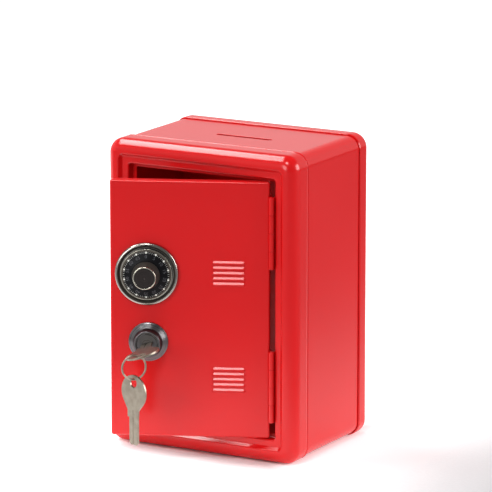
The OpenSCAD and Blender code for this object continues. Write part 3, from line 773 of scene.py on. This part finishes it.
# %% Mould the dial
FOOT_R, FOOT_Z = 13.2, 3.5  # the cone's foot and crown, in mm
CROWN_R, CROWN_Z = 8.3, 5.6
EDGE_R = 14.15
dial = turn_on_lathe(round_corners([
    (2.55, 1.2), (14.3, 1.2, 0.25), (14.6, 1.6), (14.6, 3.0, 0.16), (EDGE_R, 3.0, 0.12),
    (13.9, 3.1), (FOOT_R, FOOT_Z), (CROWN_R, CROWN_Z, 0.1), (2.55, CROWN_Z), (2.55, 1.2),
]))
paint_faces(
    dial, (black_styrene, grey_styrene_and_painted_reflection, rim_metal),
    lambda radius, height, up: (radius > FOOT_R) + (radius >= EDGE_R) if up > 0.1 else 0,
)
finish_piece(dial, "dial_moulded", None, "dial", ["dial_disc"], dial_place)

# %% Stamp the numbers, dots and ticks
CONE = math.atan2(CROWN_Z - FOOT_Z, FOOT_R - CROWN_R)
NUMBERS, TICKS = 14, 4
NUMBER_R, DOT_R, TICK_R = 10.6, 12.75, 12.65  # distances from the axis, in mm
NUMBER_SIZE, DOT_SIZE, TICK_SIZE = 2.7, 1.24, (0.16, 0.75, 0.1)


def on_cone(radius, angle, lift=0.06):
    """A place on the cone: Y points outwards, up the print, and Z stands off the surface."""
    height = FOOT_Z + (FOOT_R - radius) * math.tan(CONE) + lift
    return (
        Matrix.Rotation(-angle, 4, "Z")
        @ Matrix.Translation((0, radius * MM, height * MM))
        @ Matrix.Rotation(-CONE, 4, "X")
    )


def stamp_number(text, place, size):
    """The text as a mesh, of that size in mm."""
    clear_selection()
    bpy.ops.object.text_add()
    stamp = bpy.context.object
    stamp.data.body = text
    stamp.data.size = size * MM
    stamp.data.align_x = "CENTER"
    stamp.data.align_y = "CENTER"
    stamp.data.extrude = 0.03 * MM
    bpy.ops.object.convert(target="MESH")
    stamp.matrix_world = place
    return stamp


numbers, marks = [], []
for major in range(NUMBERS):
    angle = math.tau * major / NUMBERS
    numbers.append(stamp_number(str(5 * major), on_cone(NUMBER_R, angle), NUMBER_SIZE))
    clear_selection()
    bpy.ops.mesh.primitive_uv_sphere_add(segments=12, ring_count=6, radius=DOT_SIZE / 2 * MM)
    dot = bpy.context.object
    dot.matrix_world = on_cone(DOT_R, angle, 0.0) @ Matrix.Diagonal((1, 1, 0.35, 1))
    marks.append(dot)
    for minor in range(1, TICKS + 1):
        tick_angle = angle + math.tau * minor / (NUMBERS * (TICKS + 1))
        marks.append(box_cutter(TICK_SIZE, on_cone(TICK_R, tick_angle, 0.02)))
finish_piece(
    join_pieces(numbers), "dial_numbers", worn_ink, "dial", [], dial_place
)
finish_piece(join_pieces(marks), "dial_dots", white_ink, "dial", [], dial_place)

# %% [markdown]
# ## The knob
#
# The knob is a cone with a bright rounded rim at its face, and a brushed disc let into
# it. The disc has the small centre dimple that the lathe's tailstock leaves.

# %% Turn the knob, its rim and its cap
knob = turn_on_lathe(round_corners([
    (2.55, 5.65), (8.0, 5.65, 0.2), (8.0, 6.4, 0.3), (6.55, 12.55), (6.2, 12.6), (6.0, 12.3),
    (2.55, 12.3), (2.55, 5.65),
]))
finish_piece(knob, "knob_moulded", knob_styrene, "dial", ["dial_knob"], dial_place)
rim = turn_on_lathe(round_corners([
    (5.9, 12.2), (6.62, 12.2, 0.1), (6.5, 13.2, 0.42), (5.85, 13.2, 0.2), (5.85, 12.6), (5.9, 12.2),
]))
finish_piece(rim, "knob_rim", rim_metal, "dial", [], dial_place)
cap = turn_on_lathe(round_corners([
    (0, 12.35), (5.8, 12.35), (5.8, 12.95, 0.15), (0.65, 12.95, 0.1), (0.3, 12.7, 0.1), (0, 12.66),
]))
finish_piece(
    cap, "knob_cap_brushed", cap_metal, "dial", ["knob_cap"], dial_place
)

# %% [markdown]
# ## The lock
#
# The lock's case has a flange that slopes up like a bell to a raised barrel. The plug
# turns inside the barrel with a fine dark gap round it. The barrel's wall is rougher, and its
# darker tint is painted shade.
# The plug's face has the keyway, cut by a box a little wider than the key.

# %% Turn the lock's case
WALL_FOOT, WALL_TOP, WALL_R = 3.0, 7.4, 8.6
case = turn_on_lathe(round_corners([
    (5.25, -12.5), (7.5, -12.5, 0.3), (7.5, 0.05), (11.2, 0.05, 0.2), (11.2, 0.9, 0.3),
    (10.5, 1.35, 0.8), (8.1, 3.35, 0.9), (7.6, 7.8, 0.5), (6.05, 7.8, 0.25), (6.05, 3.4),
    (5.25, 3.4), (5.25, -12.5),
]))
# The barrel's wall takes the darker chrome, which is painted shade.
paint_faces(
    case, (lock_chrome, dull_and_shaded_chrome),
    lambda radius, height, up: radius < WALL_R and WALL_FOOT < height < WALL_TOP,
)
finish_piece(case, "lock_case_turned", None, "door", ["lock_body"], lock_place)

# %% Turn the plug and cut its keyway
PLUG_FACE = 7.4  # mm out of the door
KEYWAY, TAIL = (7.1, 1.6, 16.5), (5, 5, 2)
plug = turn_on_lathe(round_corners([
    (0, -12.55), (5.2, -12.55, 0.2), (5.2, 3.45), (6.0, 3.45), (6.0, PLUG_FACE, 0.35),
    (0, PLUG_FACE),
]))
cut_away(plug, box_cutter(KEYWAY, Matrix.Translation((0, 0, -0.35 * MM))))
tail = box_cutter(TAIL, Matrix.Translation((0, 0, -12.85 * MM)))
plug = join_pieces([plug, tail])
finish_piece(
    plug, "lock_plug_turned", lock_chrome, "plug", ["lock_plug"], plug_place
)

# %% [markdown]
# ## The keys
#
# Both keys are the same blank, stamped from flat strip: a plain blade with a groove down
# each side, a stop shoulder and a round bow with a hole. The outline is drawn as a chain
# and filled, then extruded to its thickness. The hole and the grooves are cut, and all
# edges get the roundness that tumbling gives them.

# %% Draw the key's outline
KEY_T, BOW_R, BOW_END = 1.3, 9.6, 24.3  # mm, as all of the blank's sizes
HOLE_R, HOLE_Y = 2.7, BOW_END - 4.35
GROOVE = (1.0, 20.4, 0.6)
BOW_STEPS = 56


def tangent_from(point, centre, radius, side):
    """Where a line from the point touches the circle, on its left (1) or its right (-1)."""
    to_centre = centre - point
    reach = math.sqrt(to_centre.length_squared - radius * radius)
    angle = math.atan2(to_centre.y, to_centre.x) + side * math.asin(radius / to_centre.length)
    return point + Vector((math.cos(angle), math.sin(angle))) * reach


def key_outline():
    """The blank from above: its tip at -15.7, its shoulder at 0 and its bow's end at BOW_END."""
    left, right, middle = Vector((-4.8, 4.1)), Vector((3.75, 4.1)), Vector((0, BOW_END - BOW_R))
    first = tangent_from(right, middle, BOW_R, -1) - middle
    last = tangent_from(left, middle, BOW_R, 1) - middle
    start = math.atan2(first.y, first.x)
    sweep = (math.atan2(last.y, last.x) - start) % math.tau
    angles = [start + sweep * k / BOW_STEPS for k in range(BOW_STEPS + 1)]
    bow = [middle + Vector((math.cos(angle), math.sin(angle))) * BOW_R for angle in angles]
    blade = [
        (-4.8, 0), (-3.4, 0), (-3.4, -14.5), (-2.2, -15.7), (2.2, -15.7), (3.4, -14.5), (3.4, 0),
    ]
    return [right] + bow + [left] + [Vector(point) for point in blade] + [right]


print("key outline:", len(key_outline()), "points")

# %% Stamp the key
def stamp_key():
    key = draw_chain(
        [Vector((point.x * MM, point.y * MM, -KEY_T / 2 * MM)) for point in key_outline()]
    )
    bpy.ops.mesh.remove_doubles(threshold=0.002 * MM)
    bpy.ops.mesh.edge_face_add()
    bpy.ops.mesh.extrude_region_move(TRANSFORM_OT_translate={"value": (0, 0, KEY_T * MM)})
    bpy.ops.object.mode_set(mode="OBJECT")
    close_up(key)
    clear_selection()
    bpy.ops.mesh.primitive_cylinder_add(
        vertices=40, radius=HOLE_R * MM, depth=4 * MM, location=(0, HOLE_Y * MM, 0)
    )
    cut_away(key, bpy.context.object)
    for side in (1, -1):
        on_face = Matrix.Translation((0, -6.0 * MM, side * KEY_T / 2 * MM))
        cut_away(key, box_cutter(GROOVE, on_face))
    round_edges(key, 0.18)
    return key


blank = stamp_key()
print("key blank, mm:", [round(side / MM, 2) for side in blank.dimensions])

# %% [markdown]
# ## Placing the keys
#
# One key stands in the plug, drawn part of the way out. The other hangs by its hole from
# the ring. Each place is built from the same steps as in the CAD model: out of the door,
# then a turn of the ring, then a turn of the key about the wire.

# %% Hang the keys
RING_R, WIRE_R, RING_SIDE = 6.9, 0.55, 4.4  # mm, as the gaps and drops
RING_YAW, SPARE_YAW = math.radians(25), math.radians(40)
KEY_OUT, FACE_GAP = 7.2, 0.3
shoulder_z = PLUG_FACE + KEY_OUT
hole_z = shoulder_z + HOLE_Y
# The wire lies off the hole's centre, towards the side that it hangs from.
ring_slack = 0.3 * (HOLE_R - WIRE_R)
ring_drop = math.sqrt((RING_R + ring_slack) ** 2 - RING_SIDE**2)
spare_drop = HOLE_R - WIRE_R - FACE_GAP
ring_centre = Vector((
    -RING_SIDE * math.cos(RING_YAW), -ring_drop, hole_z + RING_SIDE * math.sin(RING_YAW)
))
ring_place = lock_place @ Matrix.Translation(ring_centre * MM) @ Matrix.Rotation(RING_YAW, 4, "Y")
lock_key_place = (
    plug_place
    @ Matrix.Translation((0, 0, shoulder_z * MM))
    @ Matrix.Rotation(math.radians(90), 4, "X")
)
spare_place = (
    ring_place
    @ Matrix.Translation((0, -(RING_R + spare_drop) * MM, 0))
    @ Matrix.Rotation(-RING_YAW - SPARE_YAW, 4, "Y")
    @ Matrix.Translation((0, -HOLE_Y * MM, 0))
)
spare = copy_piece(blank, "spare")
for key, name, body, place in (
    (blank, "lock_key", "key", lock_key_place),
    (spare, "spare_key", "spare", spare_place),
):
    finish_piece(key, f"{name}_stamped", nickel, body, [name], place)

# %% [markdown]
# ## The wire ring
#
# The ring is bent from round wire, and its two cut ends meet in a hairline joint. A disc
# the size of the wire is spun almost once round, which leaves that joint open, with both
# ends closed.

# %% Bend the ring
ALMOST_ROUND, JOINT_ANGLE = math.radians(358.9), math.radians(205)
clear_selection()
bpy.ops.mesh.primitive_circle_add(vertices=20, radius=WIRE_R * MM, fill_type="NGON")
ring = bpy.context.object
upright = Matrix.Rotation(math.radians(90), 4, "X")
ring.matrix_world = Matrix.Translation((RING_R * MM, 0, 0)) @ upright
bpy.ops.object.transform_apply(location=True, rotation=True)
bpy.ops.object.mode_set(mode="EDIT")
bpy.ops.mesh.select_all(action="SELECT")
bpy.ops.mesh.spin(steps=96, angle=ALMOST_ROUND, center=(0, 0, 0), axis=(0, 0, 1))
bpy.ops.object.mode_set(mode="OBJECT")
close_up(ring)
wire_place = ring_place @ Matrix.Rotation(JOINT_ANGLE, 4, "Z")
finish_piece(ring, "key_ring_wire", nickel, "ring", ["key_ring"], wire_place)

# %% [markdown]
# ## Small hardware
#
# The hinges, washers, nuts and the cam already have the right shape in the CAD model,
# but their edges are perfectly sharp. A copy of each mesh is merged, its flat faces are
# joined up again, and a small bevel rounds its edges, as barrel plating or paint would.

# %% Soften the CAD hardware
def soften(node, width, finish):
    copy = copy_piece(nodes[node], node)
    close_up(copy, 0.001 * MM)
    bpy.ops.object.mode_set(mode="EDIT")
    bpy.ops.mesh.select_all(action="SELECT")
    bpy.ops.mesh.dissolve_limited(angle_limit=math.radians(1))
    bpy.ops.object.mode_set(mode="OBJECT")
    round_edges(copy, width, segments=2)
    finish_piece(copy, node + "_softened", finish, nodes[node]["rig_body"], [node])


LEAVES = ("upper_frame_leaf", "lower_frame_leaf", "upper_door_leaf", "lower_door_leaf")
PINS = ("upper_hinge_pin", "lower_hinge_pin")
THIN = ("bezel_clip", "dial_washer", "dial_push_nut", "lock_washer", "cam_washer")
THICK = ("lock_nut", "lock_cam", "cam_screw", "dial_spindle")
for group, width, finish, slot in (
    (LEAVES, 0.12, enamel, "red_enamelled_steel"),
    (PINS, 0.15, enamel, "red_enamelled_steel"),
    (THIN, 0.08, zinc, "zinc_plated_steel"),
    (THICK, 0.15, zinc, "zinc_plated_steel"),
):
    for node in group:
        soften(node, width, finish)

# %% [markdown]
# ## Floor and light
#
# The bank stands on a wide table of sanded opal acrylic that also serves as the
# background. The table's material glows near the bank, a painted glow, so it stays pale
# there, and the enamel mirrors that glow low on the door and the side. The glow fades out
# to the front and to the right, where the table's white turns grey, a painted falloff of
# light, and the glow stops short of the bank's foot, which keeps its contact shadow.

# %% Lay the table
clear_selection()
bpy.ops.mesh.primitive_grid_add(x_subdivisions=8, y_subdivisions=8, size=12)
floor = bpy.context.object
floor.name = "floor"
acrylic, tree, shader = new_finish("sanded_opal_acrylic", Roughness=0.9)
table_place = add_node(tree, "ShaderNodeTexCoord").outputs["Object"]
haze = add_node(
    tree, "ShaderNodeTexNoise", {"Vector": table_place, "Scale": 1 / (2 * MM), "Detail": 2.0}
)
white = two_tones(tree, haze.outputs["Fac"], "#f1f1f2", "#f6f6f7")
floor.data.materials.append(acrylic)
print("table size, m:", [round(side, 1) for side in floor.dimensions])

# %% Fade the painted light out
FRONT_FADE, SIDE_FADE = (0.06, 0.36), (-0.02, 0.3)  # where each starts and ends, in m


def fade_along(direction, start, end):
    """One as far as the start, then falling softly to zero at the end, along a direction."""
    reach = add_node(
        tree, "ShaderNodeVectorMath", {0: table_place, 1: direction}, operation="DOT_PRODUCT"
    )
    return add_node(
        tree, "ShaderNodeMapRange",
        {
            "Value": reach.outputs["Value"], "From Min": start, "From Max": end,
            "To Min": 1.0, "To Max": 0.0,
        },
        interpolation_type="SMOOTHSTEP",
    ).outputs["Result"]


# The painted light on the table: full near the bank, falling to none to the front and to the right.
to_front, to_side = fade_along((0, -1, 0), *FRONT_FADE), fade_along((1, 0, 0), *SIDE_FADE)
lit = add_node(
    tree, "ShaderNodeMath", {0: to_front, 1: to_side}, operation="MULTIPLY"
).outputs["Value"]
# Painted shade: the table's white turns to grey to the front and to the right.
graded = add_node(
    tree, "ShaderNodeMixRGB", {"Fac": lit, "Color1": linear("#929294"), "Color2": white}
)
tree.links.new(graded.outputs["Color"], shader.inputs["Base Color"])
print("the lamps fade over, m:", [round(end - start, 2) for start, end in (FRONT_FADE, SIDE_FADE)])

# %% Keep the painted glow off the bank's foot
PAINTED_GLOW_STRENGTH = 0.55
MASK_INSET, MASK_SOFTNESS = 18 * MM, 20 * MM
foot_middle = (0, (FRONT_Y + BACK_Y) / 2, 0)
foot_half = (WIDTH / 2 - MASK_INSET, DEPTH / 2, 0)
from_middle = add_node(
    tree, "ShaderNodeVectorMath", {0: table_place, 1: foot_middle}, operation="SUBTRACT"
)
folded = add_node(
    tree, "ShaderNodeVectorMath", {0: from_middle.outputs["Vector"]}, operation="ABSOLUTE"
)
beyond = add_node(
    tree, "ShaderNodeVectorMath", {0: folded.outputs["Vector"], 1: foot_half},
    operation="SUBTRACT",
)
sides = add_node(tree, "ShaderNodeSeparateXYZ", {"Vector": beyond.outputs["Vector"]})
clear = add_node(
    tree, "ShaderNodeMath", {0: sides.outputs["X"], 1: sides.outputs["Y"]}, operation="MAXIMUM"
)
masked = add_node(
    tree, "ShaderNodeMapRange",
    {"Value": clear.outputs["Value"], "From Min": 0.0, "From Max": MASK_SOFTNESS},
    interpolation_type="SMOOTHSTEP",
)
painted_glow = add_node(
    tree, "ShaderNodeMath", {0: lit, 1: masked.outputs["Result"]}, operation="MULTIPLY"
)
glow = add_node(
    tree, "ShaderNodeMath", {0: painted_glow.outputs["Value"], 1: PAINTED_GLOW_STRENGTH}, operation="MULTIPLY"
)
# The table glows by emission, though it is no lamp: painted light.
tree.links.new(glow.outputs["Value"], shader.inputs["Emission Strength"])
shader.inputs["Emission Color"].default_value = linear("#ffffff")
print("nodes in the table's material:", len(tree.nodes))

# %% [markdown]
# ## Softboxes and room
#
# Four softboxes light the bank. A long one overhead draws the bright line along the
# rounded nose. One in front lights the louvres, one low in front lights the door, and one
# at the right lights the side. The room is pale, but darker towards the front, as where a
# light tent is open for the camera, and darker above.

# %% Hang the softboxes
def soft_light(name, place, target, size, radiance):
    """A rectangular light. Its brightness is given as radiance, so its size can change."""
    data = bpy.data.lights.new(name, "AREA")
    data.shape = "RECTANGLE"
    data.size, data.size_y = size
    data.energy = radiance * math.pi * size[0] * size[1]
    light = bpy.data.objects.new(name, data)
    bpy.context.scene.collection.objects.link(light)
    light.location = place
    light.rotation_euler = (Vector(target) - Vector(place)).to_track_quat("-Z", "Y").to_euler()


soft_light("overhead_softbox", (-0.75, -0.15, 1.35), (0, -0.15, 0.1), (1.3, 0.34), 11.0)
soft_light("front_softbox", (0.17, -0.95, 1.3), (0, 0, 0.1), (0.4, 0.45), 12.0)
soft_light("low_softbox", (-0.25, -1.8, 0.55), (0, 0, 0.1), (0.8, 0.9), 5.0)
soft_light("right_softbox", (1.5, 0.55, 0.65), (0, 0, 0.1), (1.1, 0.9), 6.5)

# %% Paint the room
world = bpy.data.worlds.new("pale_room")
world.use_nodes = True
bpy.context.scene.world = world
room = world.node_tree
direction = add_node(room, "ShaderNodeTexCoord").outputs["Generated"]
toward_front = add_node(
    room, "ShaderNodeVectorMath", {0: direction, 1: (0.5, -0.866, 0)}, operation="DOT_PRODUCT"
)
low_glow = add_node(
    room, "ShaderNodeMapRange",
    {
        "Value": toward_front.outputs["Value"], "From Min": 0.2, "From Max": 0.9,
        "To Min": 0.85, "To Max": 0.2,
    },
    interpolation_type="SMOOTHSTEP",
)
split = add_node(room, "ShaderNodeSeparateXYZ", {"Vector": direction})
brightness = add_node(
    room, "ShaderNodeMapRange",
    {
        "Value": split.outputs["Z"], "From Min": 0.35, "From Max": 0.75,
        "To Min": low_glow.outputs["Result"], "To Max": 0.2,
    },
    interpolation_type="SMOOTHSTEP",
)
room.links.new(brightness.outputs["Result"], room.nodes["Background"].inputs["Strength"])
room.nodes["Background"].inputs["Color"].default_value = linear("#ffffff")
view = bpy.context.scene.view_settings
view.view_transform = "Standard"
view.gamma = 0.86
print("room:", world.name, "seen with gamma", round(view.gamma, 2))
